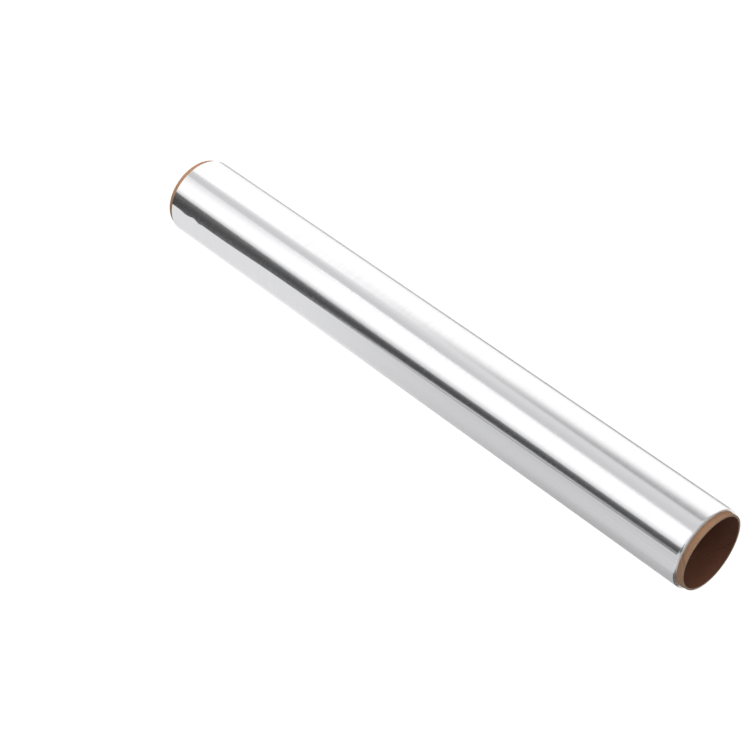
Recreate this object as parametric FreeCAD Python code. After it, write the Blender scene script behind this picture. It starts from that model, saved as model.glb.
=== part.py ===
import FreeCAD, Part
import math
import os

# Kitchen foil wound on a spiral paperboard core. The roll stands on the lower end of
# its core. Sizes are in millimetres, the axis of the roll is +Z and the origin is the
# middle of the core's lower end.

# Core: a paperboard tube, a little longer than the foil is wide
CORE_RADIUS = 17.27        # outside radius, on which the first turn of foil lies
CORE_WALL = 0.87           # board thickness of the tube
CORE_PROUD_BASE = 2.53     # length of bare core below the foil
CORE_PROUD_TOP = 2.72      # length of bare core above the foil
PLY_WIDTH = 60.0           # width of the board strip that is wound into the tube
PLY_SEAM = 0.5             # gap between two turns of a strip
PLY_DEPTH = 0.2            # depth of that gap, the thickness of one ply
INNER_SEAM_ANGLE = 40.0    # direction of the inner seam at the core's lower end, degrees
OUTER_SEAM_ANGLE = 220.0   # the same for the outer seam, which lies half a turn away

# Foil web, wound with no slack
FOIL_WIDTH = 300.0         # width of the web, along the axis of the roll
FOIL_LENGTH = 10000.0      # length of web on the core
FOIL_GAUGE = 0.011         # thickness of the web

# Free end of the web, which lies on the outside and springs off a little
SHEET = 0.12               # thickness at which the free end is drawn
SEAM_GAP = 0.12            # gap under the sheet where it leaves the roll
TAIL_LIFT = 0.50           # extra rise of the sheet's edge where it is longest
TAIL_LENGTH = 18.0         # length of the lifted sheet round the roll, where it is longest
TAIL_ANGLE = -55.2         # direction of the tail edge at the foil's lower end, degrees
TAIL_SKEW = 2.5            # how much shorter the lifted sheet is at the foil's upper end

# Ends of the wound foil, pressed inwards by handling, with their turns showing
SHOULDER_TOP = 1.60        # height of the pressed edge at the upper end
SHOULDER_BASE = 0.45       # height of the pressed edge at the lower end
SHOULDER_BULGE = 0.11      # how far the pressed edge stands out past a straight slope
END_LIP = 0.12             # width of the flat ring left beside the core
TURNS_SHOWN = 3            # turns that can be told apart on each end
TURN_GAP = 0.12            # width of the spiral line between two shown turns
TURN_DEPTH = 0.15          # depth of the spiral line

TURN_ARCS = 6              # arcs that make up a full turn of a spiral
SHEET_ARCS = 3             # arcs that make up the lifted sheet
CUT_MARGIN = 1.0           # how far a cutter reaches past what it cuts

# Worked out from the sizes above
FULL_TURN = 2 * math.pi
CORE_LENGTH = CORE_PROUD_BASE + FOIL_WIDTH + CORE_PROUD_TOP
BORE_RADIUS = CORE_RADIUS - CORE_WALL
CORE_GIRTH = FULL_TURN * CORE_RADIUS
PLY_PITCH = CORE_GIRTH / math.tan(math.acos(PLY_WIDTH / CORE_GIRTH))
FOIL_BASE = CORE_PROUD_BASE
FOIL_TOP = FOIL_BASE + FOIL_WIDTH
WOUND_RADIUS = math.sqrt(CORE_RADIUS ** 2 + FOIL_LENGTH * FOIL_GAUGE / math.pi)
TURN_RISE = SEAM_GAP + SHEET
SEAM_RADIUS = WOUND_RADIUS - TURN_RISE / 2
TAIL_SWEEP = TAIL_LENGTH / WOUND_RADIUS
TAIL_ROOT = FULL_TURN - TAIL_SWEEP
SKEW_SWEEP = TAIL_SKEW / WOUND_RADIUS
TIP_RADIUS = SEAM_RADIUS + TURN_RISE * (FULL_TURN + TAIL_SWEEP) / FULL_TURN + TAIL_LIFT
END_RADIUS = CORE_RADIUS + END_LIP
ORIGIN = FreeCAD.Vector(0, 0, 0)
UP = FreeCAD.Vector(0, 0, 1)


def polar(radius, angle, height=0.0):
    """Point at a radius and an angle in radians, at a height along the roll."""
    return FreeCAD.Vector(radius * math.cos(angle), radius * math.sin(angle), height)


def spiral_arcs(radius_at, start, end, count):
    """Chain of arcs along radius_at(angle), from one angle in radians to another."""
    step = (end - start) / count
    arcs = []
    for i in range(count):
        angles = [start + step * i, start + step * (i + 0.5), start + step * (i + 1)]
        points = [polar(radius_at(angle), angle) for angle in angles]
        arcs.append(Part.Arc(*points).toShape())
    return arcs


def band(inside, outside, start, end, count):
    """Face between two spirals that run side by side from one angle to another."""
    closing = Part.makeLine(polar(inside(end), end), polar(outside(end), end))
    opening = Part.makeLine(polar(outside(start), start), polar(inside(start), start))
    edges = spiral_arcs(inside, start, end, count) + [closing]
    edges += spiral_arcs(outside, end, start, count) + [opening]
    return Part.Face(Part.Wire(edges))


def tail_rise(angle):
    """Height that the lifted sheet has gained by this angle, from none at its root."""
    along = (angle - TAIL_ROOT) / TAIL_SWEEP
    return TAIL_LIFT * max(0.0, along) ** 2


def outer_radius(angle):
    """Outside of the last turn, whose tail edge is at one full turn."""
    return SEAM_RADIUS + TURN_RISE * (angle + TAIL_SWEEP) / FULL_TURN + tail_rise(angle)


def under_radius(angle):
    """Underside of the lifted sheet."""
    return outer_radius(angle) - SHEET


def gap_radius(angle):
    """Inside the gap under the lifted sheet, half a seam gap below the sheet."""
    return under_radius(angle) - SEAM_GAP / 2


def clear_radius(angle):
    """Outside everything that the last turn reaches."""
    return outer_radius(angle) + CUT_MARGIN


def foil_section():
    """Outline of the roll across its axis, with the longest tail edge at angle zero."""
    start = TAIL_ROOT - FULL_TURN
    turn = spiral_arcs(outer_radius, start, TAIL_ROOT, TURN_ARCS)
    sheet = spiral_arcs(outer_radius, TAIL_ROOT, FULL_TURN, SHEET_ARCS)
    tip = Part.makeLine(
        polar(outer_radius(FULL_TURN), FULL_TURN),
        polar(under_radius(FULL_TURN), FULL_TURN),
    )
    underside = spiral_arcs(under_radius, FULL_TURN, TAIL_ROOT, SHEET_ARCS)
    seam = Part.makeLine(
        polar(under_radius(TAIL_ROOT), TAIL_ROOT),
        polar(outer_radius(start), start),
    )
    return Part.Face(Part.Wire(turn + sheet + [tip] + underside + [seam]))


def beyond_tail():
    """Wedge past the skewed tail edge, from none at the base to TAIL_SKEW at the top."""
    base = polar(1, FULL_TURN)
    top = polar(1, FULL_TURN - SKEW_SWEEP)
    past = polar(1, FULL_TURN + SKEW_SWEEP)
    inner = SEAM_RADIUS - CUT_MARGIN
    outer = TIP_RADIUS + 2 * CUT_MARGIN
    low = Part.makePolygon([base * inner, base * outer, past * outer, past * inner, base * inner])
    high = Part.makePolygon([top * inner, top * outer, past * outer, past * inner, top * inner])
    high.translate(UP * FOIL_WIDTH)
    return Part.makeLoft([low, high], True, True)


def tail_trim():
    """What the skewed edge takes off the lifted sheet, clear of the turn under it."""
    start = FULL_TURN - SKEW_SWEEP - SHEET / SEAM_RADIUS
    end = FULL_TURN + SHEET / SEAM_RADIUS
    over = band(gap_radius, clear_radius, start, end, SHEET_ARCS)
    return over.extrude(UP * FOIL_WIDTH).common(beyond_tail())


def wound_body():
    """The wound web with its skewed free end, standing on Z 0 and turned into place."""
    body = foil_section().extrude(UP * FOIL_WIDTH).cut(tail_trim())
    body.rotate(ORIGIN, UP, TAIL_ANGLE)
    return body


def shoulder_cutter(height):
    """Ring outside a pressed upper end whose face is at Z 0."""
    outer = FreeCAD.Vector(TIP_RADIUS, 0, -height)
    inner = FreeCAD.Vector(END_RADIUS, 0, 0)
    slope = (inner - outer).normalize()
    middle = (outer + inner) * 0.5 + FreeCAD.Vector(slope.z, 0, -slope.x) * SHOULDER_BULGE
    far = TIP_RADIUS + CUT_MARGIN
    above = TURN_DEPTH + CUT_MARGIN
    edge = Part.Arc(outer, middle, inner).toShape()
    box = Part.makePolygon([
        inner,
        FreeCAD.Vector(END_RADIUS, 0, above),
        FreeCAD.Vector(far, 0, above),
        FreeCAD.Vector(far, 0, -height),
        outer,
    ])
    return Part.Face(Part.Wire([edge] + box.Edges)).revolve(ORIGIN, UP, 360)


def turn_line(height):
    """Spiral line between the shown turns of an upper end whose face is at Z 0."""
    pitch = (SEAM_RADIUS - END_RADIUS) / TURNS_SHOWN
    lines = TURNS_SHOWN - 1

    def inside(angle):
        return END_RADIUS + pitch * (0.5 + angle / FULL_TURN)

    def outside(angle):
        return inside(angle) + TURN_GAP

    strip = band(inside, outside, 0.0, lines * FULL_TURN, lines * TURN_ARCS)
    reach = height + TURN_DEPTH + CUT_MARGIN
    strip.translate(UP * -reach)
    wall = strip.extrude(UP * (reach + CUT_MARGIN))
    sunk = shoulder_cutter(height)
    sunk.translate(UP * -TURN_DEPTH)
    return wall.common(sunk)


def end_cutters(height):
    """What is taken off an upper end whose face is at Z 0."""
    return [shoulder_cutter(height), turn_line(height)]


def make_foil():
    """All the turns of the foil as one solid, with its free end lifted off."""
    foil = wound_body().cut(Part.makeCylinder(CORE_RADIUS, FOIL_WIDTH))
    for cutter in end_cutters(SHOULDER_TOP):
        cutter.translate(UP * FOIL_WIDTH)
        foil = foil.cut(cutter)
    for cutter in end_cutters(SHOULDER_BASE):
        cutter.rotate(ORIGIN, FreeCAD.Vector(1, 0, 0), 180)
        foil = foil.cut(cutter)
    foil.translate(UP * FOIL_BASE)
    return foil


def ply_seam(radius, direction):
    """Helical gap in the wall at this radius, where the strip's edges meet at each turn."""
    helix = Part.makeHelix(PLY_PITCH, CORE_LENGTH + 2 * CUT_MARGIN, radius)
    climb = math.atan2(PLY_PITCH, FULL_TURN * radius)
    across = FreeCAD.Vector(0, -math.sin(climb), math.cos(climb)) * (PLY_SEAM / 2)
    inner = FreeCAD.Vector(radius - PLY_DEPTH, 0, 0)
    outer = FreeCAD.Vector(radius + PLY_DEPTH, 0, 0)
    section = Part.makePolygon([inner - across, outer - across, outer + across,
                                inner + across, inner - across])
    seam = Part.Wire(helix.Edges).makePipeShell([section], True, True)
    seam.translate(UP * -CUT_MARGIN)
    seam.rotate(ORIGIN, UP, direction)
    return seam


def make_core():
    """Paperboard tube, open right through, with the seams of its two plies."""
    tube = Part.makeCylinder(CORE_RADIUS, CORE_LENGTH)
    tube = tube.cut(Part.makeCylinder(BORE_RADIUS, CORE_LENGTH))
    tube = tube.cut(ply_seam(BORE_RADIUS, INNER_SEAM_ANGLE))
    return tube.cut(ply_seam(CORE_RADIUS, OUTER_SEAM_ANGLE))


def write_part(name, shape):
    """Write one piece to parts/ after checking that it is one sound solid."""
    if not shape.isValid() or len(shape.Solids) != 1:
        raise ValueError(name + " is not one sound solid")
    shape.Solids[0].exportStep("parts/" + name + ".step")
    box = shape.optimalBoundingBox(False, False)
    print(name, "volume", round(shape.Volume, 1), "mm3")
    print("  X", round(box.XMin, 3), round(box.XMax, 3), "Y", round(box.YMin, 3),
          round(box.YMax, 3), "Z", round(box.ZMin, 3), round(box.ZMax, 3))


os.makedirs("parts", exist_ok=True)
write_part("core", make_core())
write_part("foil", make_foil())
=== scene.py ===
"""Kitchen foil wound on a spiral paperboard core, dressed for a product photograph.

The roll stands on the lower end of its core, with its axis on +Z, and every size is in metres.
"""

import math

import bmesh
import bpy
from mathutils import Matrix, Vector, noise


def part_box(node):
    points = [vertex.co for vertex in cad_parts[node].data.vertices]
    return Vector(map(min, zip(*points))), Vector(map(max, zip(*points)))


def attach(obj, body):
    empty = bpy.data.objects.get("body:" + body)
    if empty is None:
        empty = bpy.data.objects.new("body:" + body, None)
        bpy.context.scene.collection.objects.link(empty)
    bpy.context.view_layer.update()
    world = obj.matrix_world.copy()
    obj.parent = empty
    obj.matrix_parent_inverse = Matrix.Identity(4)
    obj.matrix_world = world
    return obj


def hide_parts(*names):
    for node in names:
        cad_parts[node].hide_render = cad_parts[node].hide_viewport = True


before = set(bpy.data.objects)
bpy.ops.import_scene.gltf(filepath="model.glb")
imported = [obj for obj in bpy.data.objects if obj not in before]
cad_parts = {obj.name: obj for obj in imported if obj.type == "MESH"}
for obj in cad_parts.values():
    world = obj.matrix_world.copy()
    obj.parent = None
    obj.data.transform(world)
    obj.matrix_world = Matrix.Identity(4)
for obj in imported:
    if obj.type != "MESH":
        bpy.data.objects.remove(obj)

bl_info = {
    "name": "Foil Roll",
    "version": (1, 0, 0),
    "blender": (4, 5, 0),
    "location": "3D View > Sidebar > Foil Roll",
    "description": "Kitchen foil on a paperboard core, with its studio",
    "category": "Object",
}

MM = 0.001
FULL_TURN = 2 * math.pi
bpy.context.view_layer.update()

# Sizes of the part, as its own source names them, and heights that the frame gives
CORE_RADIUS = 17.27 * MM
CORE_WALL = 0.87 * MM
PLY_WIDTH = 60.0 * MM
PLY_SEAM = 0.5 * MM
PLY_DEPTH = 0.2 * MM
INNER_SEAM_ANGLE = math.radians(40.0)
OUTER_SEAM_ANGLE = math.radians(220.0)
FOIL_LENGTH = 10000.0 * MM
FOIL_GAUGE = 0.011 * MM
SHEET = 0.12 * MM
SEAM_GAP = 0.12 * MM
TAIL_ANGLE = math.radians(-55.2)
SHOULDER_TOP = 1.60 * MM
SHOULDER_BASE = 0.45 * MM
SHOULDER_BULGE = 0.11 * MM
END_LIP = 0.12 * MM
CORE_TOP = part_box("core")[1].z
FOIL_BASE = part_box("foil")[0].z
FOIL_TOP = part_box("foil")[1].z
BORE_RADIUS = CORE_RADIUS - CORE_WALL
WOUND_RADIUS = math.sqrt(CORE_RADIUS**2 + FOIL_LENGTH * FOIL_GAUGE / math.pi)
TURN_RISE = SEAM_GAP + SHEET
SEAM_RADIUS = WOUND_RADIUS - TURN_RISE / 2
END_RADIUS = CORE_RADIUS + END_LIP
CORE_GIRTH = FULL_TURN * CORE_RADIUS
PLY_PITCH = CORE_GIRTH / math.tan(math.acos(PLY_WIDTH / CORE_GIRTH))
TURNS_SHOWN = 3

# Fineness of the foil's mesh: columns round the roll and in the tail, how much the tail's crowd
# towards its edge, rows of the wall, finer rows on its lowest part, where the tail is torn, and
# how far up these reach, rows of a shoulder, and row beside a rim
TURN_COLUMNS = 180
TAIL_COLUMNS = 30
TAIL_CROWDING = 1.6
WALL_ROW = 3.0 * MM
FINE_ROW = 0.8 * MM
FINE_REACH = 30 * MM
SHOULDER_ROWS = 6
RIM_ROW = 0.4 * MM

# Fineness of the core's mesh: columns, rows, and row beside a cut edge
CORE_COLUMNS = 96
CORE_ROW = 1.2 * MM
CORE_END_ROW = 0.4 * MM

# Radius at which the foil's wall is spun, before it winds outwards
RIM_RADIUS = SEAM_RADIUS + TURN_RISE

# How far the end faces draw in beside the step between two turns, and how far round from it
TUCK = 0.1 * MM
TUCK_SWEEP = math.radians(12)

# Spots that are nearer to each other than this are one
WELD = 0.001 * MM

# Edges that turn by more than this are drawn sharp
FOIL_CREASE = math.radians(50)
CORE_CREASE = math.radians(35)

# Share of a ply seam's width that its flat floor takes up
SEAM_FLOOR = 0.9

# A face of the core whose normal has more than this along Z is a cut edge
CUT_NORMAL = 0.7

# Length of the outer turn's waves, round the roll and along it
WAVE_ROUND = 9 * MM
WAVE_ALONG = 42 * MM

# Where the upper end of the foil is pressed in: directions between which the pressed edge comes
# and goes, in degrees, and the share of its height that is left elsewhere
PRESS_START = (-150.0, -105.0)
PRESS_END = (0.0, 40.0)
PRESS_REST = 0.15

# Shape of the cut rim at the top of the core: waves per turn, height, direction of the crest
RIM_WAVES = ((2, 0.13 * MM, 161.0), (3, 0.22 * MM, -173.0))

# Curl of the very edge of the tail and how far round the roll it reaches, at the lower end and
# at the upper end, and the heights between which the one turns into the other
CURL = (0.006 * MM, 0.014 * MM)
CURL_REACH = (0.16 * MM, 0.25 * MM)
CURL_HEIGHTS = (110 * MM, 190 * MM)

# Tears, a nick and a slight belly in the tail edge: height, half width, how far they stick out
TEARS = (
    (12.6 * MM, 3.0 * MM, 0.45 * MM),
    (18.0 * MM, 1.6 * MM, -0.5 * MM),
    (21.8 * MM, 1.5 * MM, 0.4 * MM),
    (36.0 * MM, 24.0 * MM, 0.6 * MM),
)

# Lines between the turns on the ends of the roll: half width of a line's floor and of its whole
# groove, as shares of a turn, its depth, and how far inside the rim the lines reach that depth
LINE_FADE = (0.05, 0.2)
LINE_DEPTH = 0.03 * MM
LINE_RIM = 0.03 * MM

# Rolling lines and duller streaks of the foil: size along the roll and round it, depth of a
# line, and the span of the streaks' noise with the shares of the roughness that it gives. The
# real lines are a few hundredths of a millimetre apart, too fine to show, so they are drawn
# 0.25 mm apart
ROLLING_LINE = (0.25 * MM, 30 * MM)
ROLLING_DEPTH = 0.01 * MM
STREAK = (1.1 * MM, 14 * MM)
STREAK_SPAN = (0.3, 0.75)
STREAK_DULL = (0.9, 1.35)

# Pulp and fibres of the paperboard: size of a cloud, width, length, slant and depth of a fibre,
# and the span of the noise that darkens and lightens the board. A real fibre is about 0.03 mm
# wide, too fine to show, so it is drawn 0.12 mm wide
PULP_CLOUD = 3.0 * MM
FIBRE_WIDTH = 0.12 * MM
FIBRE_LENGTH = 1.6 * MM
FIBRE_SLANT = math.radians(36)
FIBRE_DEPTH = 0.05 * MM
PULP_SPAN = (0.3, 0.7)

# Floor: radius, corners, the glow that leaves it nearly white in the roll's shadow too, and the
# grey of the matt share that takes the shadow
FLOOR_RADIUS = 8.0
FLOOR_CORNERS = 64
FLOOR_GLOW = 0.96
FLOOR_MATT = "#6A6A6A"

# Room: sine of the angle above the horizon at which the white starts to turn grey in the foil,
# and at which it is all grey
SKY_FADE = (0.5, 0.95)
SKY_GREY = "#8C8C8D"
WHITE = "#FFFFFF"

# Lamps: name, place, width, and share of the lamp power; and the spot that they look at
LAMPS = (
    ("overhead_lamp", (-0.9, -0.7, 1.5), 1.4, 1.0),
    ("low_front_lamp", (-0.3, -1.5, 0.25), 1.0, 0.3),
    ("foot_lamp", (-0.10, -0.20, 0.02), 0.06, 0.064),
)
LAMP_TARGET = Vector((0, 0, 0.15))

# Dark card over the far side: width, way from it to the spot that it faces, spot and grey
SIDE_FLAG_WIDTH = 0.42
SIDE_FLAG_WAY = Vector((-0.30, -0.24, -0.10))
SIDE_FLAG_TARGET = Vector((0, 0, 0.3))
SIDE_FLAG_GREY = "#404041"

# Photograph's camera: place, sensor and lens in mm, tilt up from straight down, turn about its
# own view axis, and nearest distance that it sees
CAMERA_PLACE = Vector((0.020074, -0.739006, 0.593899))
CAMERA_SENSOR = 36.0
CAMERA_LENS = 97.736
CAMERA_TILT = math.radians(58.17465)
CAMERA_ROLL = math.radians(125.80786)
CAMERA_NEAR = 0.01


def linear(code):
    """Linear colour with alpha of an sRGB hex code."""
    channels = [int(code[i : i + 2], 16) / 255 for i in (1, 3, 5)]
    bent = [c / 12.92 if c <= 0.04045 else ((c + 0.055) / 1.055) ** 2.4 for c in channels]
    return (*bent, 1.0)


def smooth_step(low, high, value):
    """Share from 0 to 1 that eases in at low and out at high."""
    share = min(1.0, max(0.0, (value - low) / (high - low)))
    return share * share * (3 - 2 * share)


class FoilSettings(bpy.types.PropertyGroup):
    """Sizes and finish of the wound foil."""

    tail_length: bpy.props.FloatProperty(
        name="Tail length",
        description="Length of the lifted free end round the roll, at the lower end",
        default=18.0 * MM,
        unit="LENGTH",
        subtype="DISTANCE",
    )
    tail_skew: bpy.props.FloatProperty(
        name="Tail skew",
        description="How much shorter the lifted free end is at the upper end",
        default=2.5 * MM,
        unit="LENGTH",
        subtype="DISTANCE",
    )
    tail_lift: bpy.props.FloatProperty(
        name="Tail lift",
        description="How far the free end's edge springs off the roll",
        default=0.5 * MM,
        unit="LENGTH",
        subtype="DISTANCE",
    )
    wave: bpy.props.FloatProperty(
        name="Waviness",
        description="Height of the slight waves of the outer turn",
        default=0.006 * MM,
        unit="LENGTH",
        subtype="DISTANCE",
        precision=6,
    )
    colour: bpy.props.FloatVectorProperty(
        name="Foil colour",
        description="Reflected colour of the bright side of the foil",
        default=linear("#FBFBFC"),
        subtype="COLOR",
        size=4,
        min=0.0,
        max=1.0,
    )
    roughness: bpy.props.FloatProperty(
        name="Roughness",
        description="Roughness of the rolled surface",
        default=0.185,
        subtype="FACTOR",
        min=0.0,
        max=1.0,
    )


class CoreSettings(bpy.types.PropertyGroup):
    """Finish of the paperboard core, with painted shade in the colour of the bore."""

    kraft: bpy.props.FloatVectorProperty(
        name="Outer ply",
        description="Colour of the kraft board outside",
        default=linear("#A27C60"),
        subtype="COLOR",
        size=4,
        min=0.0,
        max=1.0,
    )
    # The inner ply is darker than the outer ply: painted shade for the inside of the bore
    bore: bpy.props.FloatVectorProperty(
        name="Inner ply",
        description="Colour of the board inside the bore",
        default=linear("#6E4634"),
        subtype="COLOR",
        size=4,
        min=0.0,
        max=1.0,
    )
    cut: bpy.props.FloatVectorProperty(
        name="Cut edge",
        description="Colour of the sawn ends of the board",
        default=linear("#8C7A69"),
        subtype="COLOR",
        size=4,
        min=0.0,
        max=1.0,
    )


class StageSettings(bpy.types.PropertyGroup):
    """Light and ground of the studio."""

    floor: bpy.props.FloatVectorProperty(
        name="Floor",
        description="Colour of the floor",
        default=linear("#F4F4F4"),
        subtype="COLOR",
        size=4,
        min=0.0,
        max=1.0,
    )
    lamp: bpy.props.FloatProperty(
        name="Lamp power",
        description="Power of the large lamp overhead",
        default=6.0,
        unit="POWER",
        min=0.0,
    )
    ambient: bpy.props.FloatProperty(
        name="Room light",
        description="Strength of the light from the room all round",
        default=0.56,
        min=0.0,
    )


def add_node(tree, kind, inputs=None, **settings):
    """Add a shader node, set its properties, and give its inputs a value or a link."""
    node = tree.nodes.new(kind)
    for name, value in settings.items():
        setattr(node, name, value)
    for socket, value in (inputs or {}).items():
        if isinstance(value, bpy.types.NodeSocket):
            tree.links.new(value, node.inputs[socket])
        else:
            node.inputs[socket].default_value = value
    return node


def fade(tree, *ramps):
    """Product of smooth ramps, each of a socket, from 0 at its low value to 1 at its high."""
    product = None
    for value, low, high in ramps:
        ramp = add_node(
            tree,
            "ShaderNodeMapRange",
            {"Value": value, "From Min": low, "From Max": high, "To Min": 0.0, "To Max": 1.0},
            interpolation_type="SMOOTHSTEP",
        ).outputs[0]
        if product is None:
            product = ramp
        else:
            both = add_node(tree, "ShaderNodeMath", {0: product, 1: ramp}, operation="MULTIPLY")
            product = both.outputs[0]
    return product


def new_material(name):
    """Empty node material, with its tree."""
    material = bpy.data.materials.new(name)
    material.use_nodes = True
    material.node_tree.nodes.clear()
    return material, material.node_tree


def close_material(tree, shader):
    """Send a shader socket to the material's surface."""
    add_node(tree, "ShaderNodeOutputMaterial", {"Surface": shader})


def new_object(name, bm, materials):
    """Object at the origin, made from a bmesh."""
    mesh = bpy.data.meshes.new(name)
    bm.to_mesh(mesh)
    bm.free()
    for material in materials:
        mesh.materials.append(material)
    thing = bpy.data.objects.new(name, mesh)
    bpy.context.scene.collection.objects.link(thing)
    return thing


def new_piece(name, bm, materials, node):
    """Piece of the roll that stands for a node of the frame."""
    piece = new_object(name, bm, materials)
    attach(piece, "root")
    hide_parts(node)


def soften(bm, sharp_angle):
    """Shade all faces smooth, but for edges that turn by more than sharp_angle."""
    for face in bm.faces:
        face.smooth = True
    for edge in bm.edges:
        edge.smooth = len(edge.link_faces) == 2 and edge.calc_face_angle(0.0) < sharp_angle


def chain_edges(bm, verts):
    """Edges between each vertex and the next, made where they are missing."""
    return [bm.edges.get(pair) or bm.edges.new(pair) for pair in zip(verts, verts[1:])]


def set_radius(vert, radius):
    """Move a vertex straight out from the axis to a radius."""
    scale = radius / math.hypot(vert.co.x, vert.co.y)
    vert.co.x *= scale
    vert.co.y *= scale


class FoilShape:
    """The wound web's own sizes, from the settings."""

    def __init__(self, settings):
        self.sweep = settings.tail_length / WOUND_RADIUS
        self.skew = settings.tail_skew / WOUND_RADIUS
        self.lift = settings.tail_lift
        self.wave = settings.wave
        self.root = FULL_TURN - self.sweep
        tip_turn = TURN_RISE * (FULL_TURN + self.sweep) / FULL_TURN
        self.tip_radius = SEAM_RADIUS + tip_turn + self.lift
        self.root_azimuth = TAIL_ANGLE - self.sweep

    def outer_radius(self, turn):
        """Outside of the last turn, whose longest tail edge is at one full turn."""
        along = max(0.0, (turn - self.root) / self.sweep)
        spiral = TURN_RISE * (turn + self.sweep) / FULL_TURN
        return SEAM_RADIUS + spiral + self.lift * along**2

    def tail_end(self, height):
        """Turn at which the skewed and slightly torn tail edge lies at this height."""
        share = (height - FOIL_BASE) / (FOIL_TOP - FOIL_BASE)
        torn = sum(
            reach * math.exp(-(((height - middle) / width) ** 2))
            for middle, width, reach in TEARS
        )
        return FULL_TURN - self.skew * share + torn / WOUND_RADIUS

    def drop(self, radius, shoulder):
        """How far the pressed end face lies below its rim at this radius."""
        reach = self.tip_radius - END_RADIUS
        share = max(0.0, (radius - END_RADIUS) / reach)
        flank = math.hypot(reach, shoulder)
        bulge = SHOULDER_BULGE * 4 * share * (1 - share) * flank / reach
        return max(0.0, shoulder * share - bulge) if share < 1 else shoulder

    def span(self, radius, azimuth=None):
        """Lowest and highest point of the foil at this radius, in this direction."""
        low = FOIL_BASE + self.drop(radius, SHOULDER_BASE)
        shoulder = SHOULDER_TOP * (1 if azimuth is None else pressed(azimuth))
        return low, FOIL_TOP - self.drop(radius, shoulder)


def pressed(azimuth):
    """Share of its full height that the pressed upper edge has in this direction."""
    angle = (math.degrees(azimuth) + 180) % 360 - 180
    share = smooth_step(*PRESS_START, angle) * (1 - smooth_step(*PRESS_END, angle))
    return PRESS_REST + (1 - PRESS_REST) * share


def move(vert, radius, azimuth):
    """Move a vertex to a radius and a direction, at the same height."""
    vert.co.x = radius * math.cos(azimuth)
    vert.co.y = radius * math.sin(azimuth)


def foil_profile(shape):
    """Half section of the wound foil, up the bore and down the outside, as (radius, height)."""
    steps = [i / SHOULDER_ROWS for i in range(SHOULDER_ROWS + 1)]
    radii = [END_RADIUS + (SEAM_RADIUS - END_RADIUS) * step for step in steps]
    ends = [(radius, *shape.span(radius)) for radius in radii]
    low, high = shape.span(RIM_RADIUS)
    fine = round(FINE_REACH / FINE_ROW)
    levels = [low, low + RIM_ROW] + [low + FINE_ROW * i for i in range(1, fine)]
    rows = round((high - low - FINE_REACH) / WALL_ROW)
    levels += [low + FINE_REACH + (high - low - FINE_REACH) * i / rows for i in range(rows)]
    levels += [high - RIM_ROW, high]
    bore = [(CORE_RADIUS, FOIL_BASE), (CORE_RADIUS, FOIL_TOP)]
    top = [(radius, up) for radius, down, up in ends]
    wall = [(RIM_RADIUS, level) for level in reversed(levels)]
    base = [(radius, down) for radius, down, up in reversed(ends)]
    return bore + top + wall + base


def spin_body(bm, shape):
    """Spin the half section once round, and return its first and last copy in order."""
    start = shape.root_azimuth
    spots = [
        (radius * math.cos(start), radius * math.sin(start), height)
        for radius, height in foil_profile(shape)
    ]
    first = [bm.verts.new(spot) for spot in spots]
    edges = chain_edges(bm, [*first, first[0]])
    spun = bmesh.ops.spin(
        bm,
        geom=first + edges,
        axis=(0, 0, 1),
        cent=(0, 0, 0),
        angle=FULL_TURN,
        steps=TURN_COLUMNS,
        use_merge=False,
    )
    ends = [item for item in spun["geom_last"] if isinstance(item, bmesh.types.BMVert)]
    return first, [nearest(ends, vert.co) for vert in first]


def nearest(verts, spot):
    """Vertex of a list that lies nearest to a spot."""
    return min(verts, key=lambda vert: (vert.co - spot).length_squared)


def wind(bm, shape, first, last, turns):
    """Let the outside grow all the way round, and return the vertices of the end faces."""
    caps = set()
    starts = set(first)
    ends = set(last)
    for vert in bm.verts:
        azimuth = (math.atan2(vert.co.y, vert.co.x) - shape.root_azimuth) % FULL_TURN
        if vert in starts:
            azimuth = 0.0
        if vert in ends:
            azimuth = FULL_TURN
        turn = azimuth - shape.sweep
        turns[vert] = turn
        radius = vert.co.xy.length
        if radius > SEAM_RADIUS + WELD:
            move(vert, shape.outer_radius(turn), turn + TAIL_ANGLE)
            continue
        caps.add(vert)
        if radius > SEAM_RADIUS - WELD:
            near = min(azimuth, FULL_TURN - azimuth)
            set_radius(vert, radius - TUCK * smooth_step(0.0, TUCK_SWEEP, near))
    return caps


def join_ends(bm, first, last):
    """Weld the last copy to the first where they meet, and return it with what it became."""
    joined = {b: a for a, b in zip(first, last) if (a.co - b.co).length < WELD}
    last = [joined.get(vert, vert) for vert in last]
    wall = [i for i, vert in enumerate(first) if vert is not last[i]]
    for rim, seam in ((wall[0], wall[0] - 1), (wall[-1], wall[-1] + 1)):
        joined[first[rim]] = first[seam]
        first[rim] = first[seam]
    bmesh.ops.weld_verts(bm, targetmap=joined)
    return last


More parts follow.
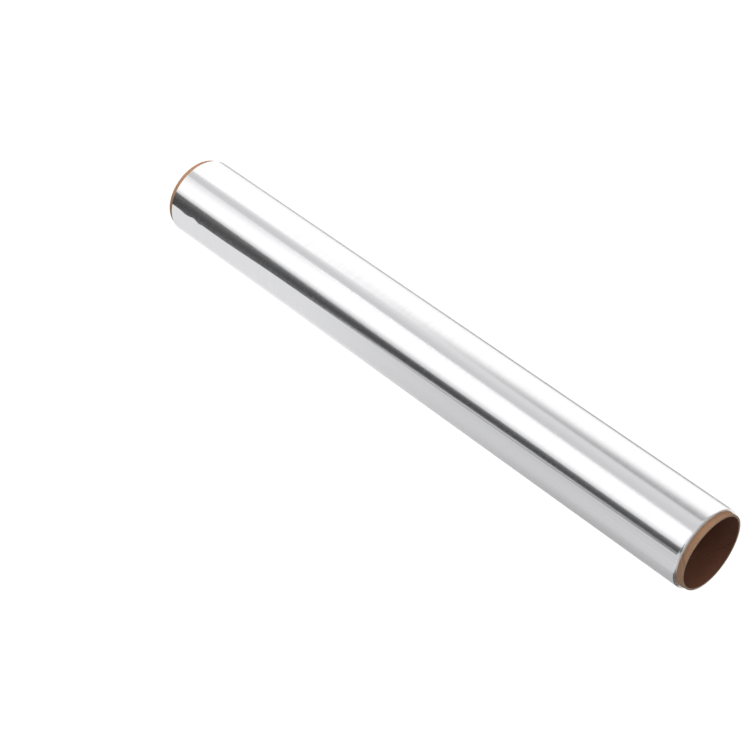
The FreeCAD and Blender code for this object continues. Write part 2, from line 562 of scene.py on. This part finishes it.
def make_tail(bm, shape, first, last, turns):
    """Close the step where the last turn ends, and spin its sheet on as the free tail."""
    wall = [i for i in range(len(first)) if first[i] is not last[i]]
    low, high = wall[-1], wall[0]
    under_radius = shape.outer_radius(shape.root) - SHEET
    under = {}
    for i in wall:
        if i in (low, high):
            seam = last[i + 1] if i == low else last[i - 1]
            edge = bm.edges.get((seam, last[i]))
            under[i] = bmesh.utils.edge_split(edge, seam, 0.5)[1]
            under[i].co = last[i].co
        else:
            under[i] = bm.verts.new(last[i].co)
        move(under[i], under_radius, shape.root_azimuth)
        turns[under[i]] = shape.root
    for i, j in zip(wall, wall[1:]):
        bm.faces.new((first[i], first[j], under[j], under[i]))
    outside = [last[i] for i in wall]
    inside = [under[i] for i in wall]
    rim = chain_edges(bm, outside) + chain_edges(bm, inside)
    rim += chain_edges(bm, [outside[0], inside[0]]) + chain_edges(bm, [outside[-1], inside[-1]])
    before = set(bm.verts)
    spun = bmesh.ops.spin(
        bm,
        geom=outside + inside + rim,
        axis=(0, 0, 1),
        cent=(0, 0, 0),
        angle=shape.sweep,
        steps=TAIL_COLUMNS,
        use_merge=False,
    )
    ends = [item for item in spun["geom_last"] if isinstance(item, bmesh.types.BMVert)]
    turn = Matrix.Rotation(shape.sweep, 3, "Z")
    outer_tip = [nearest(ends, turn @ vert.co) for vert in outside]
    inner_tip = [nearest(ends, turn @ vert.co) for vert in inside]
    for i in range(len(wall) - 1):
        bm.faces.new((outer_tip[i], outer_tip[i + 1], inner_tip[i + 1], inner_tip[i]))
    middle = shape.outer_radius(shape.root) - SHEET / 2
    for vert in set(bm.verts) - before:
        azimuth = (math.atan2(vert.co.y, vert.co.x) - shape.root_azimuth) % FULL_TURN
        lift_vert(shape, vert, azimuth / shape.sweep, vert.co.xy.length > middle, turns)


def lift_vert(shape, vert, share, outside, turns):
    """Put a vertex of the tail in its place on the lifted sheet, with the skewed edge."""
    crowded = 1 - (1 - min(1.0, share)) ** TAIL_CROWDING
    turn = shape.root + (shape.tail_end(vert.co.z) - shape.root) * crowded
    to_edge = (shape.tail_end(vert.co.z) - turn) * WOUND_RADIUS
    upper = smooth_step(*CURL_HEIGHTS, vert.co.z)
    reach = CURL_REACH[0] + (CURL_REACH[1] - CURL_REACH[0]) * upper
    curl = CURL[0] + (CURL[1] - CURL[0]) * upper
    curl *= max(0.0, 1 - to_edge / reach) ** 2
    radius = shape.outer_radius(turn) + curl - (0 if outside else SHEET)
    move(vert, radius, turn + TAIL_ANGLE)
    turns[vert] = turn


def settle(bm, shape, caps):
    """Bring the ends to their pressed shape, with the outside stretched between them."""
    middle = (FOIL_BASE + FOIL_TOP) / 2
    bottom, top = shape.span(RIM_RADIUS)
    for vert in bm.verts:
        low, high = shape.span(vert.co.xy.length, math.atan2(vert.co.y, vert.co.x))
        share = (vert.co.z - bottom) / (top - bottom)
        if vert in caps:
            share = round(vert.co.z > middle)
        vert.co.z = low + (high - low) * share


def ripple(bm, shape, turns):
    """Give the outer turn its slight waves, long along the roll."""
    for vert in bm.verts:
        radius = vert.co.xy.length
        share = smooth_step(END_RADIUS, SEAM_RADIUS, radius)
        if share == 0:
            continue
        around = turns[vert] * WOUND_RADIUS / WAVE_ROUND
        along = vert.co.z / WAVE_ALONG
        dent = (1 - noise.noise((around, along, 0.0))) / 2
        set_radius(vert, radius - share * shape.wave * dent)


def unroll(bm, shape, turns):
    """Give the foil a map with the length along the roll in U and round it in V."""
    layer = bm.loops.layers.uv.new("web")
    middle = (FOIL_BASE + FOIL_TOP) / 2
    for face in bm.faces:
        around = [turns[loop.vert] for loop in face.loops]
        for loop, turn in zip(face.loops, around):
            if max(around) - turn > math.pi:
                turn += FULL_TURN
            reach = loop.vert.co.xy.length - CORE_RADIUS
            inward = (WOUND_RADIUS - CORE_RADIUS - reach) * (1 if loop.vert.co.z > middle else -1)
            loop[layer].uv = (loop.vert.co.z + inward, turn * WOUND_RADIUS)


def make_foil(settings, material):
    """All the turns of the foil as one closed skin, with its free end lifted off."""
    shape = FoilShape(settings)
    bm = bmesh.new()
    turns = {}
    first, last = spin_body(bm, shape)
    caps = wind(bm, shape, first, last, turns)
    last = join_ends(bm, first, last)
    welded = {vert: turn for vert, turn in turns.items() if vert.is_valid}
    make_tail(bm, shape, first, last, welded)
    settle(bm, shape, {vert for vert in caps if vert.is_valid})
    ripple(bm, shape, welded)
    bmesh.ops.recalc_face_normals(bm, faces=bm.faces)
    unroll(bm, shape, welded)
    soften(bm, FOIL_CREASE)
    new_piece("foil_web", bm, [material], "foil")


def ring_spots(radius, seam, depth):
    """Spots of a ring in order, as (radius, angle), with a groove where one seam lies."""
    half = PLY_SEAM / 2 / radius
    inner = half * SEAM_FLOOR
    spots = [(radius, FULL_TURN * i / CORE_COLUMNS) for i in range(CORE_COLUMNS)]
    for angle in (INNER_SEAM_ANGLE, OUTER_SEAM_ANGLE):
        floor = radius + (depth if angle == seam else 0.0)
        spots += [(radius, angle - half), (floor, angle - inner)]
        spots += [(floor, angle + inner), (radius, angle + half)]
    return sorted(spots, key=lambda spot: spot[1])


def rim_wave(azimuth):
    """How far the top rim of the core is pushed out of round in this direction."""
    return sum(
        height * math.cos(waves * azimuth - math.radians(crest))
        for waves, height, crest in RIM_WAVES
    )


def make_core(materials):
    """Paperboard tube, extruded along the seams of its two plies, with a bent top rim."""
    bm = bmesh.new()
    rings = []
    for spots in (
        ring_spots(BORE_RADIUS, INNER_SEAM_ANGLE, PLY_DEPTH),
        ring_spots(CORE_RADIUS, OUTER_SEAM_ANGLE, -PLY_DEPTH),
    ):
        verts = [bm.verts.new((r * math.cos(a), r * math.sin(a), 0)) for r, a in spots]
        rings.append(chain_edges(bm, [*verts, verts[0]]))
    edges = rings[0] + rings[1]
    bmesh.ops.bridge_loops(bm, edges=edges)
    rows = round(CORE_TOP / CORE_ROW)
    levels = [0.0, CORE_END_ROW] + [CORE_TOP * i / rows for i in range(1, rows)]
    levels += [CORE_TOP - CORE_ROW, CORE_TOP - CORE_END_ROW, CORE_TOP]
    for low, high in zip(levels, levels[1:]):
        grown = bmesh.ops.extrude_edge_only(bm, edges=edges)["geom"]
        climb = Matrix.Translation((0, 0, high - low))
        turn = Matrix.Rotation(FULL_TURN * (high - low) / PLY_PITCH, 4, "Z")
        verts = [item for item in grown if isinstance(item, bmesh.types.BMVert)]
        fresh = set(verts)
        edges = [
            item
            for item in grown
            if isinstance(item, bmesh.types.BMEdge) and fresh.issuperset(item.verts)
        ]
        bmesh.ops.transform(bm, matrix=climb @ turn, verts=verts)
    bmesh.ops.bridge_loops(bm, edges=edges)
    bmesh.ops.recalc_face_normals(bm, faces=bm.faces)
    for vert in bm.verts:
        share = smooth_step(FOIL_TOP, CORE_TOP, vert.co.z)
        if share > 0:
            azimuth = math.atan2(vert.co.y, vert.co.x)
            set_radius(vert, vert.co.xy.length + share * rim_wave(azimuth))
    for face in bm.faces:
        middle = face.calc_center_median()
        outward = face.normal.x * middle.x + face.normal.y * middle.y
        ply = 0 if outward > 0 else 1
        face.material_index = 2 if abs(face.normal.z) > CUT_NORMAL else ply
    soften(bm, CORE_CREASE)
    new_piece("core_tube", bm, materials, "core")


def turn_lines(tree):
    """Height of the spiral lines between the turns, on the ends of the roll alone."""
    place = add_node(tree, "ShaderNodeTexCoord").outputs["Object"]
    flat = add_node(
        tree, "ShaderNodeVectorMath", {0: place, 1: (1.0, 1.0, 0.0)}, operation="MULTIPLY"
    )
    axes = add_node(tree, "ShaderNodeSeparateXYZ", {0: place})
    away = add_node(tree, "ShaderNodeVectorMath", {0: flat.outputs[0]}, operation="LENGTH")
    radius = away.outputs["Value"]
    azimuth = add_node(
        tree, "ShaderNodeMath", {0: axes.outputs[1], 1: axes.outputs[0]}, operation="ARCTAN2"
    )
    turn = add_node(
        tree, "ShaderNodeMath", {0: azimuth.outputs[0], 1: -1 / FULL_TURN}, operation="MULTIPLY"
    )
    pitch = (SEAM_RADIUS - END_RADIUS) / TURNS_SHOWN
    count = add_node(
        tree,
        "ShaderNodeMath",
        {0: radius, 1: 1 / pitch, 2: turn.outputs[0]},
        operation="MULTIPLY_ADD",
    )
    # Distance from the nearest line, from 0 to half a turn
    share = add_node(
        tree, "ShaderNodeMath", {0: count.outputs[0], 1: 0.5}, operation="PINGPONG"
    )
    return fade(
        tree,
        (share.outputs[0], *LINE_FADE),
        (radius, SEAM_RADIUS, SEAM_RADIUS - LINE_RIM),
    )


def foil_material(settings):
    """Household aluminium foil, bright side out: a mirror that rolling lines blur lengthwise."""
    material, tree = new_material("aluminium_foil")
    tangent = add_node(tree, "ShaderNodeTangent", direction_type="UV_MAP", uv_map="web")
    place = add_node(tree, "ShaderNodeTexCoord").outputs["UV"]
    # Fine lines that the mill's rolls leave, which run round the roll
    stretch = add_node(
        tree,
        "ShaderNodeMapping",
        {"Vector": place, "Scale": (*(1 / size for size in ROLLING_LINE), 1.0)},
    )
    lines = add_node(
        tree,
        "ShaderNodeTexNoise",
        {"Vector": stretch.outputs[0], "Scale": 1.0, "Detail": 2.0, "Roughness": 0.6},
    )
    bump = add_node(
        tree,
        "ShaderNodeBump",
        {"Height": lines.outputs["Fac"], "Strength": 0.06, "Distance": ROLLING_DEPTH},
    )
    # Duller streaks, also round the roll, that let some light into the dark reflections
    smear = add_node(
        tree,
        "ShaderNodeMapping",
        {"Vector": place, "Scale": (*(1 / size for size in STREAK), 1.0)},
    )
    streaks = add_node(
        tree,
        "ShaderNodeTexNoise",
        {"Vector": smear.outputs[0], "Scale": 1.0, "Detail": 3.0, "Roughness": 0.6},
    )
    dull = add_node(
        tree,
        "ShaderNodeMapRange",
        {
            "Value": streaks.outputs["Fac"],
            "From Min": STREAK_SPAN[0],
            "From Max": STREAK_SPAN[1],
            "To Min": settings.roughness * STREAK_DULL[0],
            "To Max": settings.roughness * STREAK_DULL[1],
        },
    )
    ends = add_node(
        tree,
        "ShaderNodeBump",
        {
            "Height": turn_lines(tree),
            "Strength": 1.0,
            "Distance": LINE_DEPTH,
            "Normal": bump.outputs[0],
        },
    )
    shader = add_node(
        tree,
        "ShaderNodeBsdfPrincipled",
        {
            "Base Color": tuple(settings.colour),
            "Metallic": 1.0,
            "Roughness": dull.outputs[0],
            "Anisotropic": 0.95,
            "Tangent": tangent.outputs[0],
            "Normal": ends.outputs[0],
        },
    )
    close_material(tree, shader.outputs[0])
    return material


def board_material(name, colour, cloud, fibre):
    """Kraft paperboard: matt brown pulp with short fibres, streaked the way the strip was wound."""
    material, tree = new_material(name)
    place = add_node(tree, "ShaderNodeTexCoord").outputs["Object"]
    pulp = add_node(
        tree,
        "ShaderNodeTexNoise",
        {"Vector": place, "Scale": 1 / PULP_CLOUD, "Detail": 4.0, "Roughness": 0.65},
    )
    slant = add_node(
        tree,
        "ShaderNodeMapping",
        {
            "Vector": place,
            "Rotation": (0.0, FIBRE_SLANT, 0.0),
            "Scale": (1 / FIBRE_WIDTH, 1 / FIBRE_WIDTH, 1 / FIBRE_LENGTH),
        },
    )
    fibres = add_node(
        tree,
        "ShaderNodeTexNoise",
        {"Vector": slant.outputs[0], "Scale": 1.0, "Detail": 2.0, "Roughness": 0.5},
    )
    shades = {}
    for i, (pattern, depth) in enumerate(((pulp, cloud), (fibres, fibre))):
        shades[i] = add_node(
            tree,
            "ShaderNodeMapRange",
            {
                "Value": pattern.outputs["Fac"],
                "From Min": PULP_SPAN[0],
                "From Max": PULP_SPAN[1],
                "To Min": 1 - depth,
                "To Max": 1 + depth,
            },
        ).outputs[0]
    shade = add_node(tree, "ShaderNodeMath", shades, operation="MULTIPLY")
    # Inputs 6 and 7 are the two colours
    tone = add_node(
        tree,
        "ShaderNodeMix",
        {0: 1.0, 6: tuple(colour), 7: shade.outputs[0]},
        data_type="RGBA",
        blend_type="MULTIPLY",
    )
    bump = add_node(
        tree,
        "ShaderNodeBump",
        {"Height": fibres.outputs["Fac"], "Strength": 0.5, "Distance": FIBRE_DEPTH},
    )
    shader = add_node(
        tree,
        "ShaderNodeBsdfPrincipled",
        {
            "Base Color": tone.outputs[2],
            "Roughness": 0.85,
            "Specular IOR Level": 0.25,
            "Normal": bump.outputs[0],
        },
    )
    close_material(tree, shader.outputs[0])
    return material


class FOILROLL_OT_foil(bpy.types.Operator):
    """Wind the foil with its loose tail"""

    bl_idname = "foilroll.foil"
    bl_label = "Wound foil"

    def execute(self, context):
        settings = context.scene.foil_settings
        make_foil(settings, foil_material(settings))
        return {"FINISHED"}


class FOILROLL_OT_core(bpy.types.Operator):
    """Make the paperboard core"""

    bl_idname = "foilroll.core"
    bl_label = "Paperboard core"

    def execute(self, context):
        settings = context.scene.core_settings
        outer = board_material("kraft_board_outer_ply", settings.kraft, 0.05, 0.06)
        # The inner ply's darker colour is painted shade for the inside of the bore
        bore = board_material("board_inner_ply_painted_shade", settings.bore, 0.05, 0.05)
        cut = board_material("sawn_board_edge", settings.cut, 0.08, 0.12)
        make_core([outer, bore, cut])
        return {"FINISHED"}


def mirrored(angle, height):
    """Spot on the roll at this surface angle and height, and where its reflection leads."""
    spot = Vector((SEAM_RADIUS * math.cos(angle), SEAM_RADIUS * math.sin(angle), height))
    outward = Vector((math.cos(angle), math.sin(angle), 0.0))
    ray = (spot - CAMERA_PLACE).normalized()
    ray -= outward * 2 * ray.dot(outward)
    return spot, ray


# Grey boards round the roll, of which later ones cover earlier ones: name, then the sides
# between which the camera sees each in the roll, its grey, the share of its width over which
# each side fades, and two heights in metres, clear at the first and full at the second. A side
# is a list of (height in mm, surface angle in degrees). The first board's heights hide its rise
FLAG_START = (
    (0, -74.7), (30, -75.1), (90, -74.9), (120, -74.4), (150, -73.4), (180, -74.4), (240, -75.0)
)
FLAG_END = (
    (0, -54.5), (40, -55.2), (75, -57.6), (105, -60.8), (150, -64.0), (200, -65.8), (250, -67.1)
)
FRONT_LEFT_END = ((0, -101), (90, -100.5), (200, -98.5), (240, -97.6), (305, -95.2))
BOARDS = (
    ("board_behind", ((0, -182),), ((0, -158.5),), "#9C9C9D", (0.02, 0.3), (0.330, 0.320)),
    ("board_far_fade", ((0, -106),), ((0, -89),), "#DFDFE0", (0.05, 0.9), (0.150, 0.060)),
    (
        "board_front_left",
        ((0, -112), (90, -112.5), (150, -115.5), (305, -119)),
        FRONT_LEFT_END,
        "#D2D2D3",
        (0.1, 0.1),
        None,
    ),
    (
        "board_front_left_deep",
        ((0, -111), (100, -110), (305, -110)),
        FRONT_LEFT_END,
        "#C6C6C7",
        (0.7, 0.3),
        None,
    ),
    (
        "board_left",
        ((0, -122), (150, -124), (250, -127.5), (305, -131)),
        ((0, -113.6),),
        "#969697",
        (0.85, 0.04),
        (0.110, 0.250),
    ),
    ("strip_front", ((0, -81),), ((0, -74),), "#D8D8D9", (0.9, 0.01), None),
    ("board_right", FLAG_END, ((0, -5),), "#DEDEDF", (0.01, 0.35), None),
    ("board_right_near", FLAG_END, ((0, -1),), "#C6C6C7", (0.01, 0.2), (0.080, 0.190)),
    ("board_edge_near", FLAG_END, ((0, -48),), "#BEBEBF", (0.01, 0.6), (0.130, 0.210)),
    ("board_low_near", ((0, -42),), ((0, -2),), "#AFAFB0", (0.6, 0.2), (0.170, 0.260)),
    ("flag_front", FLAG_START, FLAG_END, "#606060", (0.03, 0.01), None),
    ("flag_deep", ((0, -73.1),), FLAG_END, "#3D3D3E", (0.5, 0.01), None),
)

# Board: its cells across and along, the share of its length that lies on the floor, the height
# on the roll that this part covers, the rise of the rest, and how far one lies above another
BOARD_CELLS = (12, 40)
BOARD_FLAT = 0.8
BOARD_TOP = 0.33
BOARD_RISE = 0.9
BOARD_STEP = 0.04 * MM

# Strength of the cards' light, over 1 to make up for what the foil doesn't reflect
CARD_STRENGTH = 1.04


def side_angle(side, height):
    """Surface angle of a board's side at this height, in radians."""
    for (low, start), (high, end) in zip(side, side[1:]):
        if height < high * MM:
            share = max(0.0, (height / MM - low) / (high - low))
            return math.radians(start + (end - start) * share)
    return math.radians(side[-1][1])


def make_board(level, name, start, end, colour, fades, fade_in):
    """Grey board on the floor that rises at its far end, seen by the foil alone."""
    columns, rows = BOARD_CELLS
    bm = bmesh.new()
    layer = bm.loops.layers.uv.new("board")
    bmesh.ops.create_grid(bm, x_segments=columns, y_segments=rows, size=0.5)
    places = {}
    for vert in bm.verts:
        across = vert.co.x + 0.5
        along = vert.co.y + 0.5
        height = min(along / BOARD_FLAT, 1.0) * BOARD_TOP
        begin = side_angle(start, height)
        angle = begin + (side_angle(end, height) - begin) * across
        spot, ray = mirrored(angle, height)
        reach = max(0.0, spot.z - level) / -ray.z
        rise = max(0.0, (along - BOARD_FLAT) / (1 - BOARD_FLAT)) * BOARD_RISE
        places[vert] = (across, height)
        shift = (spot.x + ray.x * reach, spot.y + ray.y * reach)
        # Each rise stands a hair within the last, so that no two lie on each other
        vert.co = (*(side * (1 - level) for side in shift), level + rise)
    for face in bm.faces:
        for loop in face.loops:
            loop[layer].uv = places[loop.vert]
    material = board_light(name, colour, fades, fade_in)
    hide_board(new_object(name, bm, [material]))


def hide_board(board):
    """Let the foil alone see a board."""
    for kind in ("camera", "diffuse", "transmission", "shadow", "volume_scatter"):
        setattr(board, "visible_" + kind, False)


def board_light(name, colour, fades, fade_in):
    """Lit card that shows an even grey in the foil and fades out at its sides."""
    material, tree = new_material("card_" + name)
    where = add_node(tree, "ShaderNodeUVMap", uv_map="board").outputs[0]
    axes = add_node(tree, "ShaderNodeSeparateXYZ", {0: where})
    ramps = [(axes.outputs[0], 0.0, fades[0]), (axes.outputs[0], 1.0, 1.0 - fades[1])]
    if fade_in:
        ramps.append((axes.outputs[1], *fade_in))
    cover = fade(tree, *ramps)
    light = add_node(
        tree, "ShaderNodeEmission", {"Color": linear(colour), "Strength": CARD_STRENGTH}
    )
    clear = add_node(tree, "ShaderNodeBsdfTransparent")
    mixed = add_node(
        tree, "ShaderNodeMixShader", {0: cover, 1: clear.outputs[0], 2: light.outputs[0]}
    )
    close_material(tree, mixed.outputs[0])
    return material


def floor_material(colour):
    """Pale matt floor that stays white behind the roll and keeps a faint shadow."""
    material, tree = new_material("pale_floor")
    path = add_node(tree, "ShaderNodeLightPath")
    seen = path.outputs["Is Camera Ray"]
    for kind in ("Is Glossy Ray", "Is Transmission Ray"):
        either = add_node(
            tree, "ShaderNodeMath", {0: seen, 1: path.outputs[kind]}, operation="MAXIMUM"
        )
        seen = either.outputs[0]
    matt = add_node(tree, "ShaderNodeBsdfDiffuse", {"Color": tuple(colour)})
    thin = add_node(tree, "ShaderNodeBsdfDiffuse", {"Color": linear(FLOOR_MATT)})
    glow = add_node(
        tree, "ShaderNodeEmission", {"Color": linear(WHITE), "Strength": FLOOR_GLOW}
    )
    white = add_node(tree, "ShaderNodeAddShader", {0: thin.outputs[0], 1: glow.outputs[0]})
    mixed = add_node(
        tree, "ShaderNodeMixShader", {0: seen, 1: matt.outputs[0], 2: white.outputs[0]}
    )
    close_material(tree, mixed.outputs[0])
    return material


def make_floor(settings):
    """Round floor under the roll."""
    bm = bmesh.new()
    bmesh.ops.create_circle(bm, cap_ends=True, segments=FLOOR_CORNERS, radius=FLOOR_RADIUS)
    new_object("floor", bm, [floor_material(settings.floor)])


def make_room(settings):
    """Even light from all round, white to the camera and grey overhead in the foil."""
    world = bpy.data.worlds.new("studio")
    world.use_nodes = True
    bpy.context.scene.world = world
    tree = world.node_tree
    tree.nodes.clear()
    path = add_node(tree, "ShaderNodeLightPath")
    toward = add_node(tree, "ShaderNodeTexCoord").outputs["Generated"]
    axes = add_node(tree, "ShaderNodeSeparateXYZ", {0: toward})
    high = fade(tree, (axes.outputs[2], *SKY_FADE))
    # Inputs 6 and 7 are the two colours
    sky = add_node(
        tree,
        "ShaderNodeMix",
        {0: high, 6: linear(WHITE), 7: linear(SKY_GREY)},
        data_type="RGBA",
    )
    even = add_node(
        tree, "ShaderNodeBackground", {"Color": linear(WHITE), "Strength": settings.ambient}
    )
    shiny = add_node(tree, "ShaderNodeBackground", {"Color": sky.outputs[2], "Strength": 1.0})
    white = add_node(tree, "ShaderNodeBackground", {"Color": linear(WHITE), "Strength": 1.0})
    lit = add_node(
        tree,
        "ShaderNodeMixShader",
        {0: path.outputs["Is Glossy Ray"], 1: even.outputs[0], 2: shiny.outputs[0]},
    )
    seen = add_node(
        tree,
        "ShaderNodeMixShader",
        {0: path.outputs["Is Camera Ray"], 1: lit.outputs[0], 2: white.outputs[0]},
    )
    add_node(tree, "ShaderNodeOutputWorld", {"Surface": seen.outputs[0]})


def make_lamp(name, place, width, power):
    """Soft round lamp that looks at the middle of the roll, and that the foil doesn't show."""
    data = bpy.data.lights.new(name, "AREA")
    data.shape = "DISK"
    data.size = width
    data.energy = power
    lamp = bpy.data.objects.new(name, data)
    bpy.context.scene.collection.objects.link(lamp)
    lamp.location = place
    toward = LAMP_TARGET - Vector(place)
    lamp.rotation_mode = "QUATERNION"
    lamp.rotation_quaternion = toward.to_track_quat("-Z", "Y")
    lamp.visible_glossy = False


def make_side_flag():
    """Dark card over the far side, which the pressed end of the foil shows as a dark edge."""
    material, tree = new_material("card_side_flag")
    dark = add_node(
        tree, "ShaderNodeEmission", {"Color": linear(SIDE_FLAG_GREY), "Strength": 1.0}
    )
    close_material(tree, dark.outputs[0])
    bm = bmesh.new()
    bmesh.ops.create_grid(bm, x_segments=1, y_segments=1, size=SIDE_FLAG_WIDTH / 2)
    turn = SIDE_FLAG_WAY.to_track_quat("Z", "Y").to_matrix().to_4x4()
    place = Matrix.Translation(SIDE_FLAG_TARGET - SIDE_FLAG_WAY)
    bmesh.ops.transform(bm, matrix=place @ turn, verts=bm.verts)
    hide_board(new_object("side_flag", bm, [material]))


def make_camera():
    """Camera of the photograph."""
    data = bpy.data.cameras.new("camera")
    data.lens = CAMERA_LENS
    data.sensor_width = CAMERA_SENSOR
    data.clip_start = CAMERA_NEAR
    camera = bpy.data.objects.new("camera", data)
    bpy.context.scene.collection.objects.link(camera)
    turn = Matrix.Rotation(CAMERA_TILT, 4, "X") @ Matrix.Rotation(CAMERA_ROLL, 4, "Z")
    camera.matrix_world = Matrix.Translation(CAMERA_PLACE) @ turn
    bpy.context.scene.camera = camera


class FOILROLL_OT_stage(bpy.types.Operator):
    """Set up the floor, the light and the camera"""

    bl_idname = "foilroll.stage"
    bl_label = "Studio"

    def execute(self, context):
        settings = context.scene.stage_settings
        make_floor(settings)
        make_room(settings)
        for name, place, width, share in LAMPS:
            make_lamp(name, place, width, settings.lamp * share)
        make_side_flag()
        for i, board in enumerate(BOARDS):
            make_board(BOARD_STEP * (i + 1), *board)
        make_camera()
        view = context.scene.view_settings
        view.view_transform = "Standard"
        return {"FINISHED"}


class FOILROLL_PT_panel(bpy.types.Panel):
    """Sizes, finishes and steps of the foil roll"""

    bl_idname = "FOILROLL_PT_panel"
    bl_label = "Foil Roll"
    bl_space_type = "VIEW_3D"
    bl_region_type = "UI"
    bl_category = "Foil Roll"

    def draw(self, context):
        scene = context.scene
        for group in (scene.foil_settings, scene.core_settings, scene.stage_settings):
            box = self.layout.box()
            for name in group.__annotations__:
                box.prop(group, name)
        for step in STEPS:
            self.layout.operator(step.bl_idname)


GROUPS = {
    "foil_settings": FoilSettings,
    "core_settings": CoreSettings,
    "stage_settings": StageSettings,
}
STEPS = (FOILROLL_OT_foil, FOILROLL_OT_core, FOILROLL_OT_stage)


def register():
    """Register the settings, the steps and the panel."""
    for name, group in GROUPS.items():
        bpy.utils.register_class(group)
        setattr(bpy.types.Scene, name, bpy.props.PointerProperty(type=group))
    for step in STEPS:
        bpy.utils.register_class(step)
    bpy.utils.register_class(FOILROLL_PT_panel)


def unregister():
    """Take back what register() added."""
    bpy.utils.unregister_class(FOILROLL_PT_panel)
    for step in reversed(STEPS):
        bpy.utils.unregister_class(step)
    for name, group in reversed(GROUPS.items()):
        delattr(bpy.types.Scene, name)
        bpy.utils.unregister_class(group)


def main():
    """Build the roll and its studio."""
    register()
    for step in STEPS:
        group, name = step.bl_idname.split(".")
        getattr(getattr(bpy.ops, group), name)()


if __name__ == "__main__":
    main()
